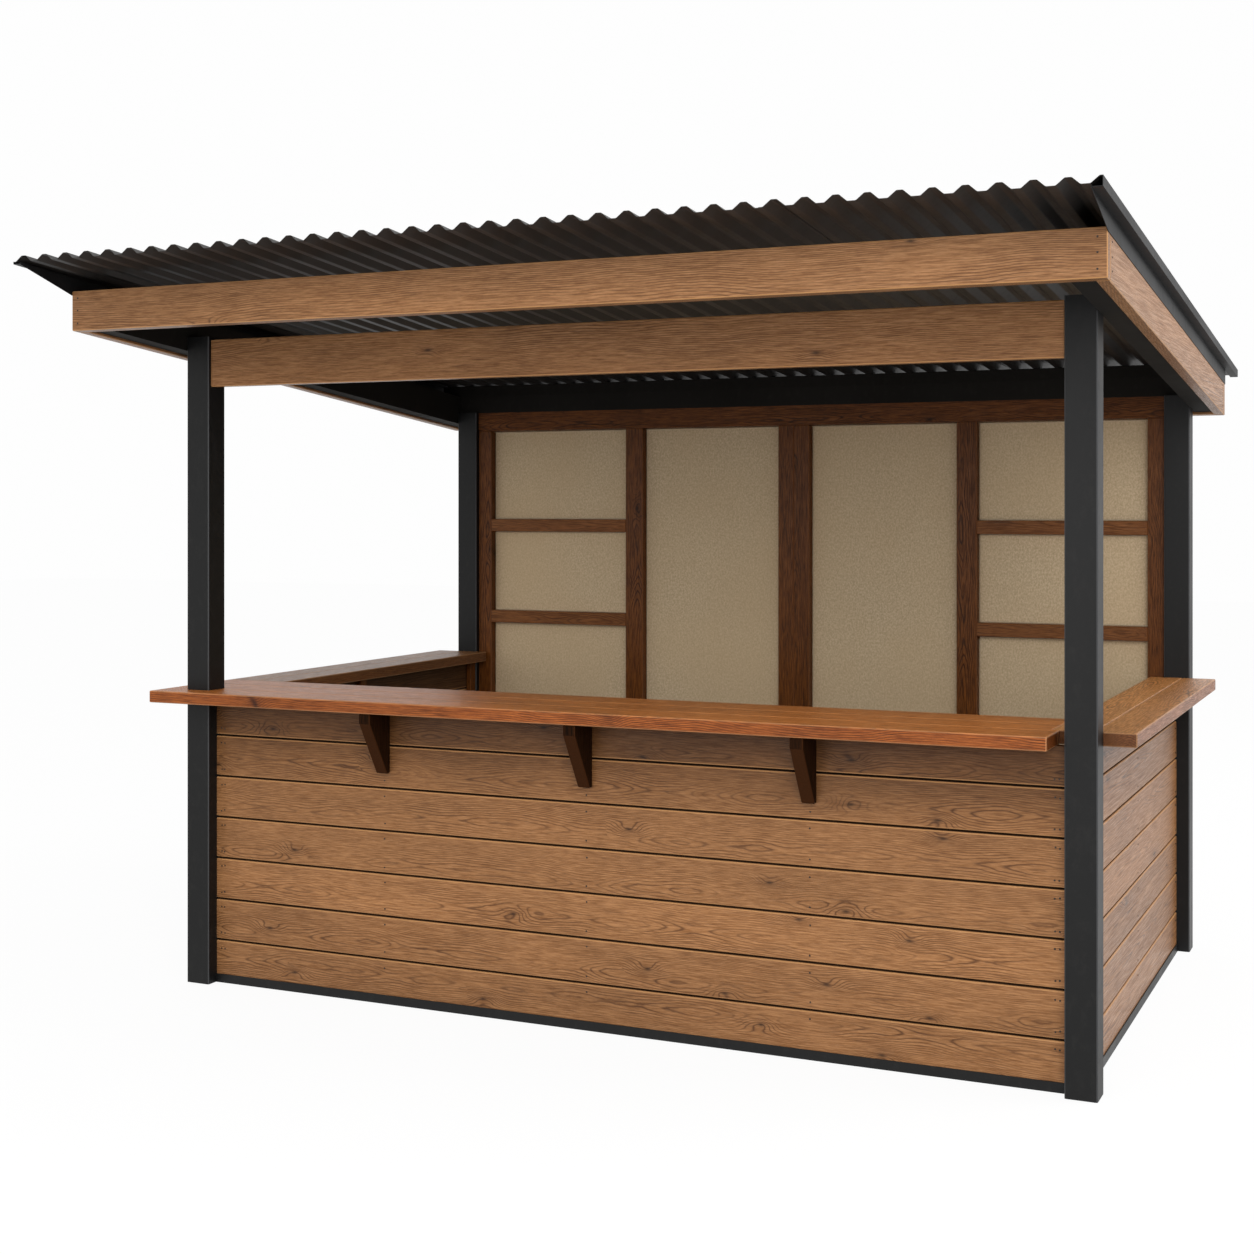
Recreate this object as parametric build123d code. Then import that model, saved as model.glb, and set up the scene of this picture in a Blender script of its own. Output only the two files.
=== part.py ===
"""Wooden market stall: four steel posts, boarded low walls, timber counter on three sides,
studded back wall and a mono-pitch roof of corrugated steel sheets."""
from build123d import *
import math
import os

os.makedirs("parts", exist_ok=True)

# Post frame, measured over the outer faces of the posts
FRAME_WIDTH = 3370.0
FRAME_DEPTH = 2140.0
POST_SIZE = 100.0
POST_WALL = 4.0
POST_CORNER_RADIUS = 6.0
FRONT_POST_HEIGHT = 2424.0

# Roof, falling from front to back
ROOF_PITCH_DEG = 5.25
POST_HEAD_DROP = 80.0
RAFTER_HEIGHT = 130.0
EAVES_BEAM_WIDTH = 50.0
TUBE_WALL = 3.0
PURLIN_SIZE = 50.0
FASCIA_HEIGHT = 140.0
FASCIA_THICKNESS = 40.0
FASCIA_FRONT_REACH = 495.0
FASCIA_BACK_REACH = 80.0
FASCIA_SIDE_REACH = 115.0

# Corrugated sheets
SHEET_FRONT_REACH = 255.0
SHEET_BACK_REACH = 180.0
SHEET_SIDE_REACH = 32.0
SHEET_THICKNESS = 1.0
SHEET_COUNT = 4
RIBS_PER_SHEET = 10
RIB_DEPTH = 20.0
CREST_SHARE = 0.20
VALLEY_SHARE = 0.28
BEND_RADIUS = 8.0
LAP_CLEARANCE = 0.3

# Verge flashings that close the sides between the fascia boards and the sheets
FLASHING_THICKNESS = 2.0
FLASHING_LAP = 14.0
FLASHING_CLEARANCE = 0.5

# Front header under the roof
HEADER_HEIGHT = 175.0
HEADER_THICKNESS = 45.0
HEADER_RECESS = 12.0
HEADER_DROP = 12.0

# Counter on three sides
COUNTER_HEIGHT = 1100.0
COUNTER_THICKNESS = 44.0
COUNTER_FRONT_REACH = 95.0
COUNTER_SIDE_REACH = 100.0
FRONT_COUNTER_DEPTH = 500.0
SIDE_COUNTER_WIDTH = 255.0
COUNTER_END_GAP = 33.0
POST_CLEARANCE = 0.3

# Low walls on three sides
CLADDING_RECESS = 50.0
CLADDING_THICKNESS = 20.0
WALL_STUD_WIDTH = 45.0
RAIL_HEIGHT = 32.0
RAIL_WALL = 4.0

# Brackets under the front counter, placed as shares of half the clear width between posts
BRACKET_SHARES = (-0.533, -0.025, 0.481)
BRACKET_WIDTH = 45.0
BRACKET_HEIGHT = 225.0
BRACKET_REACH = 138.0
BRACKET_LIP = 34.0
BRACKET_TOE = 22.0

# Back wall
BACK_RECESS = 24.0
LINING_THICKNESS = 6.0
PLATE_HEIGHT = 86.0
END_STUD_WIDTH = 68.0
MID_STUD_WIDTH = 86.0
CENTRE_STUD_WIDTH = 72.0
MID_STUD_SHARE = 0.487
SHELF_HEIGHT = 58.0
LOWER_SHELF_TOP = 1298.0
UPPER_SHELF_TOP = 1730.0

# Softened edges of the timber
EASED_EDGE = 3.0

# Dependent sizes
pitch_tan = math.tan(math.radians(ROOF_PITCH_DEG))
pitch_cos = math.cos(math.radians(ROOF_PITCH_DEG))
pitch_sin = math.sin(math.radians(ROOF_PITCH_DEG))
half_width = FRAME_WIDTH / 2
inner_half = half_width - POST_SIZE

# Plan places along the depth; zero lies under the middle of the roof sheets
sheet_rise = RIB_DEPTH + 2 * SHEET_THICKNESS + LAP_CLEARANCE
roof_depth = (SHEET_FRONT_REACH + FASCIA_FRONT_REACH + FRAME_DEPTH + FASCIA_BACK_REACH + SHEET_BACK_REACH)
sheet_front = -roof_depth / 2
fascia_front = sheet_front + SHEET_FRONT_REACH
post_front = fascia_front + FASCIA_FRONT_REACH
post_front_inner = post_front + POST_SIZE
post_back = post_front + FRAME_DEPTH
post_back_inner = post_back - POST_SIZE
fascia_back = post_back + FASCIA_BACK_REACH
fascia_half = half_width + FASCIA_SIDE_REACH
fascia_inner = fascia_half - FASCIA_THICKNESS
roof_half = fascia_half + SHEET_SIDE_REACH


def roof_z(y, below=0.0):
    """Height of the rafters' upper plane at a place in the depth, less a drop."""
    return FRONT_POST_HEIGHT + POST_HEAD_DROP - below - pitch_tan * (y - post_front)


def slab(x_span, y_span, z_span):
    """Straight block between pairs of faces."""
    size = [span[1] - span[0] for span in (x_span, y_span, z_span)]
    return Pos(x_span[0], y_span[0], z_span[0]) * Box(*size, align=(Align.MIN, Align.MIN, Align.MIN))


def along_x(points, x_span):
    """Side outline in depth and height, run across the width."""
    outline = make_face(Polyline(*points, close=True))
    return Pos(x_span[0], 0, 0) * extrude(Plane.YZ * outline, amount=x_span[1] - x_span[0])


def under_roof(y_span, top_drop, bottom_drop, x_span):
    """Piece whose upper and lower edges follow the roof's fall and whose ends are plumb."""
    y_0, y_1 = y_span
    points = [(y_0, roof_z(y_0, bottom_drop)), (y_1, roof_z(y_1, bottom_drop))]
    points += [(y_1, roof_z(y_1, top_drop)), (y_0, roof_z(y_0, top_drop))]
    return along_x(points, x_span)


def below_roof_cut(solid, x_span, y_span, z_0, drop):
    """Keep what lies above a level and under a plane that follows the roof's fall."""
    y_0, y_1 = y_span
    points = [(y_0, z_0), (y_1, z_0), (y_1, roof_z(y_1, drop)), (y_0, roof_z(y_0, drop))]
    return solid & along_x(points, x_span)


def eased(solid):
    """Timber with its long edges softened."""
    return chamfer(solid.edges(), EASED_EDGE)


def mirrored(span):
    """The same span on the other side of the middle."""
    return (-span[1], -span[0])


def save(shape, node):
    """Write one named piece."""
    shape.label = node
    export_step(shape, f"parts/{node}.step")


# Posts: square tubes with a closed, sloping head
post_columns = {"left": (-half_width, -inner_half), "right": (inner_half, half_width)}
post_rows = {"front": (post_front, post_front_inner), "back": (post_back_inner, post_back)}
tallest = FRONT_POST_HEIGHT + POST_HEAD_DROP
bore = POST_SIZE - 2 * POST_WALL
bore_radius = POST_CORNER_RADIUS - POST_WALL
for row, y_span in post_rows.items():
    for side, x_span in post_columns.items():
        centre = Pos(sum(x_span) / 2, sum(y_span) / 2, 0)
        outside = centre * extrude(RectangleRounded(POST_SIZE, POST_SIZE, POST_CORNER_RADIUS), amount=tallest)
        inside = centre * extrude(RectangleRounded(bore, bore, bore_radius), amount=tallest)
        shell = below_roof_cut(outside, x_span, y_span, 0, POST_HEAD_DROP)
        hollow = below_roof_cut(inside, x_span, y_span, 0, POST_HEAD_DROP + POST_WALL)
        save(shell - hollow, f"{row}_{side}_post")

# Rafters: rectangular tubes on the outer faces of the posts, behind the side fascias
rafter_run = (fascia_front + FASCIA_THICKNESS, fascia_back - FASCIA_THICKNESS)
rafter_columns = {"left": (-fascia_inner, -half_width), "right": (half_width, fascia_inner)}
for side, x_span in rafter_columns.items():
    outside = under_roof(rafter_run, 0, RAFTER_HEIGHT, x_span)
    bore_span = (x_span[0] + TUBE_WALL, x_span[1] - TUBE_WALL)
    inside = under_roof(rafter_run, TUBE_WALL, RAFTER_HEIGHT - TUBE_WALL, bore_span)
    save(outside - inside, f"{side}_rafter")

# Eaves beam across the back post heads, between the rafters
eaves_run = (post_back_inner + BACK_RECESS, post_back_inner + BACK_RECESS + EAVES_BEAM_WIDTH)
eaves_bore = (eaves_run[0] + TUBE_WALL, eaves_run[1] - TUBE_WALL)
eaves_span = (-half_width, half_width)
eaves_outside = under_roof(eaves_run, 0, POST_HEAD_DROP, eaves_span)
eaves_inside = under_roof(eaves_bore, TUBE_WALL, POST_HEAD_DROP - TUBE_WALL, eaves_span)
save(eaves_outside - eaves_inside, "back_eaves_beam")

# Purlins: square tubes across the rafters, under the sheets
purlin_length = 2 * (fascia_half - FASCIA_THICKNESS / 2)
purlin_bore = PURLIN_SIZE - 2 * TUBE_WALL
purlin_section = Rectangle(PURLIN_SIZE, PURLIN_SIZE) - Rectangle(purlin_bore, purlin_bore)
purlin_places = {"front": post_front + POST_SIZE / 2, "back": sum(eaves_run) / 2}
for row, y in purlin_places.items():
    tube = extrude(Plane.YZ * purlin_section, amount=purlin_length / 2, both=True)
    seat = Pos(0, y, roof_z(y)) * Rot(-ROOF_PITCH_DEG, 0, 0)
    save(seat * Pos(0, 0, PURLIN_SIZE / 2) * tube, f"{row}_purlin")

# Fascia boards: the front and back boards cover the ends of the side boards
fascia_spans = {
    "front": ((-fascia_half, fascia_half), (fascia_front, fascia_front + FASCIA_THICKNESS)),
    "back": ((-fascia_half, fascia_half), (fascia_back - FASCIA_THICKNESS, fascia_back)),
    "left": ((-fascia_half, -fascia_inner), rafter_run),
    "right": ((fascia_inner, fascia_half), rafter_run),
}
for side, (x_span, y_span) in fascia_spans.items():
    save(eased(under_roof(y_span, 0, FASCIA_HEIGHT, x_span)), f"{side}_fascia")

# Verge flashings: plates on the outer faces of the side fascias, up to the sheets
flashing_run = (fascia_front, fascia_back)
flashing_rise = PURLIN_SIZE / pitch_cos - FLASHING_CLEARANCE
right_flashing = (fascia_half, fascia_half + FLASHING_THICKNESS)
for side, x_span in (("left", mirrored(right_flashing)), ("right", right_flashing)):
    save(under_roof(flashing_run, -flashing_rise, FLASHING_LAP, x_span), f"{side}_verge_flashing")

# Roof sheets: folded ribs run down the slope, each sheet laps half a rib over the next
rib_pitch = 2 * roof_half / (SHEET_COUNT * RIBS_PER_SHEET + 1 / 2)
crest_half = CREST_SHARE * rib_pitch / 2
valley_half = VALLEY_SHARE * rib_pitch / 2
sheet_length = (roof_depth - sheet_rise * pitch_sin) / pitch_cos
sheet_seat_z = roof_z(sheet_front) + PURLIN_SIZE / pitch_cos


def sheet_line(start, ribs):
    """Corners of the folded sheet's lower face, from mid valley to the last crest."""
    corners = [(start, 0)]
    for rib in range(ribs):
        left = start + rib * rib_pitch
        crest = left + rib_pitch / 2
        right = left + rib_pitch
        corners += [(left + valley_half, 0), (crest - crest_half, RIB_DEPTH)]
        corners += [(crest + crest_half, RIB_DEPTH), (right - valley_half, 0)]
    last = start + ribs * rib_pitch
    corners += [(last + valley_half, 0), (last + rib_pitch / 2 - crest_half, RIB_DEPTH)]
    corners += [(last + rib_pitch / 2, RIB_DEPTH)]
    return corners


for index in range(SHEET_COUNT):
    start = -roof_half + index * RIBS_PER_SHEET * rib_pitch
    lift = (index % 2) * (SHEET_THICKNESS + LAP_CLEARANCE)
    corners = sheet_line(start, RIBS_PER_SHEET)
    lower = FilletPolyline(*corners, radius=BEND_RADIUS)
    upper = Pos(0, SHEET_THICKNESS) * lower
    first = Line(corners[0], (corners[0][0], SHEET_THICKNESS))
    final = Line(corners[-1], (corners[-1][0], corners[-1][1] + SHEET_THICKNESS))
    section = make_face([*lower.edges(), final, *upper.edges(), first])
    upright = Rot(90, 0, 0) * section
    run = extrude(upright, amount=sheet_length, dir=(0, 1, 0))
    seat = Pos(0, sheet_front, sheet_seat_z) * Rot(-ROOF_PITCH_DEG, 0, 0)
    save(seat * Pos(0, 0, lift) * run, f"roof_sheet_{index + 1}")

# Header between the front posts
header_front = post_front + HEADER_RECESS
header_top = FRONT_POST_HEIGHT - HEADER_DROP
header = slab((-inner_half, inner_half), (header_front, header_front + HEADER_THICKNESS),
              (header_top - HEADER_HEIGHT, header_top))
save(eased(header), "front_header")

# Counters: the front one fits round the left post, the side ones butt against it
counter_span = (COUNTER_HEIGHT - COUNTER_THICKNESS, COUNTER_HEIGHT)
counter_side = half_width + COUNTER_SIDE_REACH
counter_inner = counter_side - SIDE_COUNTER_WIDTH
counter_front = post_front - COUNTER_FRONT_REACH
counter_back = counter_front + FRONT_COUNTER_DEPTH
nose = slab((-counter_side, inner_half - COUNTER_END_GAP), (counter_front, post_front_inner), counter_span)
body = slab((-counter_side, counter_inner), (post_front_inner, counter_back), counter_span)
post_gap = slab((-half_width - POST_CLEARANCE, POST_CLEARANCE - inner_half),
                (post_front - POST_CLEARANCE, post_front_inner + POST_CLEARANCE), counter_span)
save(eased(nose + body - post_gap), "front_counter")
save(eased(slab((-counter_side, -counter_inner), (counter_back, post_back_inner), counter_span)), "left_counter")
save(eased(slab((counter_inner, counter_side), (post_front_inner, post_back_inner), counter_span)), "right_counter")

# Brackets under the front counter
counter_underside = counter_span[0]
wall_face = post_front + CLADDING_RECESS
bracket_outline = [
    (wall_face, counter_underside),
    (wall_face - BRACKET_REACH, counter_underside),
    (wall_face - BRACKET_REACH, counter_underside - BRACKET_LIP),
    (wall_face - BRACKET_TOE, counter_underside - BRACKET_HEIGHT),
    (wall_face, counter_underside - BRACKET_HEIGHT),
]
bracket_places = [share * inner_half for share in BRACKET_SHARES]
for place, name in zip(bracket_places, ("left", "centre", "right")):
    span = (place - BRACKET_WIDTH / 2, place + BRACKET_WIDTH / 2)
    save(eased(along_x(bracket_outline, span)), f"{name}_bracket")

# Low walls: a channel on the ground holds the cladding and the studs behind it
stud_depth = POST_SIZE - CLADDING_RECESS - CLADDING_THICKNESS - RAIL_WALL
channel_outer = CLADDING_RECESS - RAIL_WALL
wall_base = RAIL_WALL


def wall_studs(length, stud_places):
    """Separate uprights from the channel to the counter, at both ends and at the given places."""
    end_place = length / 2 - WALL_STUD_WIDTH / 2
    studs = []
    for place in (-end_place, *stud_places, end_place):
        x_span = (place - WALL_STUD_WIDTH / 2, place + WALL_STUD_WIDTH / 2)
        studs.append(eased(slab(x_span, (0, stud_depth), (wall_base, counter_underside))))
    return Compound(children=studs)


def channel(length, depth):
    """Upward channel lying on the ground, its outer face at zero depth."""
    block = slab((-length / 2, length / 2), (0, depth), (0, RAIL_HEIGHT))
    trough = slab((-length / 2, length / 2), (RAIL_WALL, depth - RAIL_WALL), (RAIL_WALL, RAIL_HEIGHT))
    return block - trough


front_length = 2 * inner_half
side_length = FRAME_DEPTH - 2 * POST_SIZE
side_middle = (post_front + post_back) / 2
channel_depth = POST_SIZE - channel_outer
side_studs = (0.0,)
wall_seats = {
    "front": (Pos(0, post_front, 0), front_length, bracket_places),
    "left": (Pos(-half_width, side_middle, 0) * Rot(0, 0, -90), side_length, side_studs),
    "right": (Pos(half_width, side_middle, 0) * Rot(0, 0, 90), side_length, side_studs),
}
for side, (seat, length, stud_places) in wall_seats.items():
    boards = slab((-length / 2, length / 2), (CLADDING_RECESS, CLADDING_RECESS + CLADDING_THICKNESS),
                  (wall_base, counter_underside))
    save(seat * boards, f"{side}_cladding")
    stud_seat = Pos(0, CLADDING_RECESS + CLADDING_THICKNESS, 0)
    save(seat * stud_seat * wall_studs(length, stud_places), f"{side}_wall_studs")
    save(seat * Pos(0, channel_outer, 0) * channel(length, channel_depth), f"{side}_ground_channel")

# Back wall: studs, plate and shelf rails in front of the lining, cladding behind it
back_stud_front = post_back_inner + BACK_RECESS
back_cladding_back = post_back - RAIL_WALL
back_lining_back = back_cladding_back - CLADDING_THICKNESS
back_lining_front = back_lining_back - LINING_THICKNESS
back_stud_span = (back_stud_front, back_lining_front)
full_span = (-inner_half, inner_half)
plate = under_roof(back_stud_span, POST_HEAD_DROP, POST_HEAD_DROP + PLATE_HEIGHT, full_span)
save(plate, "back_top_plate")

mid_place = MID_STUD_SHARE * inner_half
stud_spans = {
    "back_stud_left_end": (-inner_half, END_STUD_WIDTH - inner_half),
    "back_stud_left": (-mid_place - MID_STUD_WIDTH / 2, MID_STUD_WIDTH / 2 - mid_place),
    "back_stud_centre_left": (-CENTRE_STUD_WIDTH, 0),
    "back_stud_centre_right": (0, CENTRE_STUD_WIDTH),
    "back_stud_right": (mid_place - MID_STUD_WIDTH / 2, mid_place + MID_STUD_WIDTH / 2),
    "back_stud_right_end": (inner_half - END_STUD_WIDTH, inner_half),
}
for node, x_span in stud_spans.items():
    y_0, y_1 = back_stud_span
    outline = [(y_0, wall_base), (y_1, wall_base)]
    outline += [(y, roof_z(y, POST_HEAD_DROP + PLATE_HEIGHT)) for y in (y_1, y_0)]
    save(eased(along_x(outline, x_span)), node)

bay_left = (END_STUD_WIDTH - inner_half, -mid_place - MID_STUD_WIDTH / 2)
for side, x_span in (("left", bay_left), ("right", mirrored(bay_left))):
    for level, top in (("lower", LOWER_SHELF_TOP), ("upper", UPPER_SHELF_TOP)):
        rail = slab(x_span, back_stud_span, (top - SHELF_HEIGHT, top))
        save(eased(rail), f"{side}_{level}_shelf_rail")

for node, y_span in (("back_lining", (back_lining_front, back_lining_back)),
                     ("back_cladding", (back_lining_back, back_cladding_back))):
    y_0, y_1 = y_span
    outline = [(y_0, wall_base), (y_1, wall_base)]
    outline += [(y, roof_z(y, POST_HEAD_DROP)) for y in (y_1, y_0)]
    save(along_x(outline, full_span), node)

back_channel_front = back_stud_front - RAIL_WALL
back_channel = channel(front_length, post_back - back_channel_front)
save(Pos(0, back_channel_front, 0) * back_channel, "back_ground_channel")
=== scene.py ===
import math
import random

import bmesh
import bpy
from mathutils import Euler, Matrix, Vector


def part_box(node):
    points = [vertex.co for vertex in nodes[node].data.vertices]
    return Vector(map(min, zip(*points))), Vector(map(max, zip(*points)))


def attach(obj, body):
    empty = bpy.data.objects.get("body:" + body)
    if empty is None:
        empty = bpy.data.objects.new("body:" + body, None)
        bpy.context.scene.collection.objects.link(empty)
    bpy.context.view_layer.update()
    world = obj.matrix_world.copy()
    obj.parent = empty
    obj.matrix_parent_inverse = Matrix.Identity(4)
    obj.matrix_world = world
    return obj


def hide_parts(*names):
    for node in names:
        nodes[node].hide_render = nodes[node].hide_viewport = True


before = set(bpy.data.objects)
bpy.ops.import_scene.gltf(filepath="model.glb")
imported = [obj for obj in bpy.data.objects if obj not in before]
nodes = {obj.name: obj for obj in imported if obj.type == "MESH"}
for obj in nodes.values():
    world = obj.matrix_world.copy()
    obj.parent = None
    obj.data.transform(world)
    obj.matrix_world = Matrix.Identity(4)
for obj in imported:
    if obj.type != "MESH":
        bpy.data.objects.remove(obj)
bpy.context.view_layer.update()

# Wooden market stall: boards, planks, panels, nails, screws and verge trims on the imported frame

scene = bpy.context.scene
LONG_X = (0.0, 0.0, 0.0)
LONG_Y = (0.0, 0.0, -math.pi / 2)
LONG_Z = (0.0, math.pi / 2, 0.0)
GRAIN_SPAN = 40.0
SQUARE_ON = 0.9


def paint(red, green, blue):
    """A colour from a colour card, 0 to 255, as the linear values that a shader takes."""
    shares = [c / 255 for c in (red, green, blue)]
    linear = [s / 12.92 if s <= 0.04045 else ((s + 0.055) / 1.055) ** 2.4 for s in shares]
    return (*linear, 1.0)


def put(tree, kind, feeds=None, **settings):
    """Adds a node with its settings; each feed is a plain value or the socket that it comes from."""
    node = tree.nodes.new(kind)
    for key, value in settings.items():
        setattr(node, key, value)
    for key, value in (feeds or {}).items():
        if isinstance(value, bpy.types.NodeSocket):
            tree.links.new(value, node.inputs[key])
        else:
            node.inputs[key].default_value = value
    return node


def maths(tree, operation, a, b=0.0, c=0.0, clamp=False):
    """One sum on values that change over the surface."""
    return put(tree, "ShaderNodeMath", {0: a, 1: b, 2: c}, operation=operation, use_clamp=clamp).outputs[0]


def spread(tree, value, low, high, to_low=0.0, to_high=1.0):
    """Stretches a range of a value, clamped at its ends."""
    feeds = {"Value": value, "From Min": low, "From Max": high, "To Min": to_low, "To Max": to_high}
    return put(tree, "ShaderNodeMapRange", feeds).outputs["Result"]


def blend(tree, share, a, b, way="MIX"):
    """Two colours mixed by a share."""
    return put(tree, "ShaderNodeMix", {0: share, 6: a, 7: b}, data_type="RGBA", blend_type=way).outputs[2]


def stretched(tree, place, x, y, z):
    """A place scaled along each direction."""
    return put(tree, "ShaderNodeVectorMath", {0: place, 1: (x, y, z)}, operation="MULTIPLY").outputs[0]


def cloud(tree, place, detail=2.0, rough=0.5):
    """Soft random pattern, about 0 to 1."""
    feeds = {"Vector": place, "Scale": 1.0, "Detail": detail, "Roughness": rough}
    return put(tree, "ShaderNodeTexNoise", feeds).outputs[0]


def shared_effect(name, inputs, outputs):
    """An empty shader group with named inputs and outputs."""
    group = bpy.data.node_groups.new(name, "ShaderNodeTree")
    for label, kind, value in inputs:
        socket = group.interface.new_socket(label, in_out="INPUT", socket_type=kind)
        if value is not None:
            socket.default_value = value
    for label in outputs:
        group.interface.new_socket(label, in_out="OUTPUT", socket_type="NodeSocketFloat")
    return group, put(group, "NodeGroupInput").outputs, put(group, "NodeGroupOutput").inputs


# Shared effects

def make_timber_figure():
    """Growth rings, streaks, pores and knots of a sawn board; the grain runs along X, Z lies across it."""
    inputs = [
        ("Place", "NodeSocketVector", None),
        ("Ring Width", "NodeSocketFloat", 0.008),
        ("Wander", "NodeSocketFloat", 0.1),
        ("Knot Share", "NodeSocketFloat", 0.4),
    ]
    group, given, result = shared_effect(
        "timber_figure", inputs, ("Rings", "Streaks", "Pores", "Swirls", "Knots", "Mottle"))
    place = given["Place"]
    axes = put(group, "ShaderNodeSeparateXYZ", {0: place}).outputs

    def sway(x, y, z, detail, size):
        """Soft push to either side, of a given size."""
        push = cloud(group, stretched(group, place, x, y, z), detail)
        return maths(group, "MULTIPLY", maths(group, "SUBTRACT", push, 0.5), size)

    along = maths(group, "MULTIPLY_ADD", axes["X"], 2.8, maths(group, "MULTIPLY", axes["Y"], 1.7))
    across = maths(group, "MULTIPLY_ADD", axes["Z"], 7.0, maths(group, "MULTIPLY", axes["Y"], 0.9))
    along = maths(group, "ADD", along, sway(14.0, 9.0, 40.0, 1.0, 0.06))
    cell_place = put(group, "ShaderNodeCombineXYZ", {0: along, 1: across}).outputs[0]
    cells = put(group, "ShaderNodeTexVoronoi", {"Vector": cell_place, "Scale": 1.0}, voronoi_dimensions="2D")
    lot = put(group, "ShaderNodeSeparateColor", {0: cells.outputs["Color"]}).outputs
    taken = maths(group, "LESS_THAN", lot[0], given["Knot Share"])

    def hump(width):
        """Round hump about the middle of each cell that holds a knot."""
        reach = maths(group, "POWER", maths(group, "DIVIDE", cells.outputs["Distance"], width), 2.0)
        fade = maths(group, "EXPONENT", maths(group, "MULTIPLY", reach, -1.0))
        return maths(group, "MULTIPLY", fade, taken)

    swirl = hump(0.17)
    eye = hump(0.04)

    off_heart = maths(group, "ADD", axes["Z"], sway(1.1, 1.0, 0.0, 1.0, 0.07))
    level = maths(group, "MULTIPLY", maths(group, "POWER", maths(group, "ABSOLUTE", off_heart), 1.5), 3.6)
    level = maths(group, "MULTIPLY_ADD", axes["Y"], 1.3, level)
    level = maths(group, "ADD", level, sway(2.4, 1.0, 0.0, 1.0, given["Wander"]))
    level = maths(group, "ADD", level, sway(13.0, 3.0, 38.0, 2.0, 0.008))
    level = maths(group, "ADD", level, maths(group, "MULTIPLY", swirl, 0.034))
    turns = maths(group, "MULTIPLY", maths(group, "DIVIDE", level, given["Ring Width"]), 2 * math.pi)
    rings = maths(group, "MULTIPLY_ADD", maths(group, "SINE", turns), 0.5, 0.5)
    rings = maths(group, "POWER", rings, 4.6)
    patch = spread(group, cloud(group, stretched(group, place, 2.6, 1.0, 10.0), 2.0), 0.36, 0.62, 0.2, 1.0)
    patch = maths(group, "ADD", patch, maths(group, "MULTIPLY", swirl, 0.6), clamp=True)
    rings = maths(group, "MULTIPLY", rings, patch)

    streaks = cloud(group, stretched(group, place, 15.0, 230.0, 230.0), 4.0, 0.72)
    streaks = spread(group, streaks, 0.37, 0.63)
    pores = cloud(group, stretched(group, place, 14.0, 380.0, 380.0), 2.0)
    pores = spread(group, pores, 0.56, 0.7)
    mottle = spread(group, cloud(group, stretched(group, place, 1.2, 1.0, 5.0), 2.0), 0.3, 0.7)
    for label, socket in (("Rings", rings), ("Streaks", streaks), ("Pores", pores), ("Swirls", swirl),
                          ("Knots", eye), ("Mottle", mottle)):
        group.links.new(socket, result[label])
    return group


def make_eased_edge():
    """Mask of the eased edges, where painted highlights go: faces that look between the main directions."""
    group, _, result = shared_effect("eased_edge", [], ("Edge",))
    facing = put(group, "ShaderNodeNewGeometry").outputs["True Normal"]
    sizes = put(group, "ShaderNodeVectorMath", {0: facing}, operation="ABSOLUTE").outputs[0]
    axes = put(group, "ShaderNodeSeparateXYZ", {0: sizes}).outputs
    most = maths(group, "MAXIMUM", axes[0], maths(group, "MAXIMUM", axes[1], axes[2]))
    group.links.new(spread(group, most, 0.97, 0.85), result["Edge"])
    return group


def make_coat_marks():
    """Cloudy sheen, fine orange peel and dust of a painted steel surface."""
    inputs = [("Place", "NodeSocketVector", None), ("Peel", "NodeSocketFloat", 220.0)]
    group, given, result = shared_effect("coat_marks", inputs, ("Cloud", "Peel", "Dust"))
    place = given["Place"]
    soft = spread(group, cloud(group, stretched(group, place, 2.2, 2.2, 1.1), 3.0), 0.3, 0.7)
    peel_place = put(group, "ShaderNodeVectorMath", {0: place, "Scale": given["Peel"]}, operation="SCALE")
    peel = cloud(group, peel_place.outputs[0], 2.0)
    dust = spread(group, cloud(group, stretched(group, place, 37.0, 37.0, 23.0), 5.0, 0.7), 0.52, 0.8)
    for label, socket in (("Cloud", soft), ("Peel", peel), ("Dust", dust)):
        group.links.new(socket, result[label])
    return group


timber_figure = make_timber_figure()
eased_edge = make_eased_edge()
coat_marks = make_coat_marks()


# Finishes

PORE_DEPTH = 0.45
SWIRL_DEPTH = 0.2
KNOT_DEPTH = 0.85
MOTTLE_SHADES = (0.88, 1.1)
END_LOSS = 0.4
# Painted shade in the seams and on board backs, painted light on plank tops, painted shade under the counter
# and painted highlights on eased edges:
SEAM_SHADE_LOSS = 0.92
TOP_LIGHT_SHARES = (1.72, 2.1, 2.25, 1.0)
COUNTER_SHADE_SHARES = (0.28, 0.24, 0.17, 1.0)
TIMBER_EDGE_HIGHLIGHT = 0.75
STEEL_EDGE_HIGHLIGHT = 0.6
DUST_SHARE = 0.12
DUST_TONE = paint(78, 76, 73)


def open_finish(name):
    """A material with its shader ready to be fed."""
    finish = bpy.data.materials.new(name)
    finish.use_nodes = True
    return finish, finish.node_tree, finish.node_tree.nodes["Principled BSDF"]


def piece_mark(tree, label):
    """A mark that a piece carries on its mesh, 0 where it has none."""
    return put(tree, "ShaderNodeAttribute", attribute_name=label).outputs["Fac"]


def surface_place(tree, turn, shift, stretch):
    """Where a point lies on the piece, turned so that the grain runs along X."""
    place = put(tree, "ShaderNodeTexCoord").outputs["Object"]
    place = put(tree, "ShaderNodeMapping", {"Vector": place, "Location": shift, "Rotation": turn}).outputs[0]
    return place if stretch == 1.0 else stretched(tree, place, stretch, 1.0, 1.0)


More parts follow.
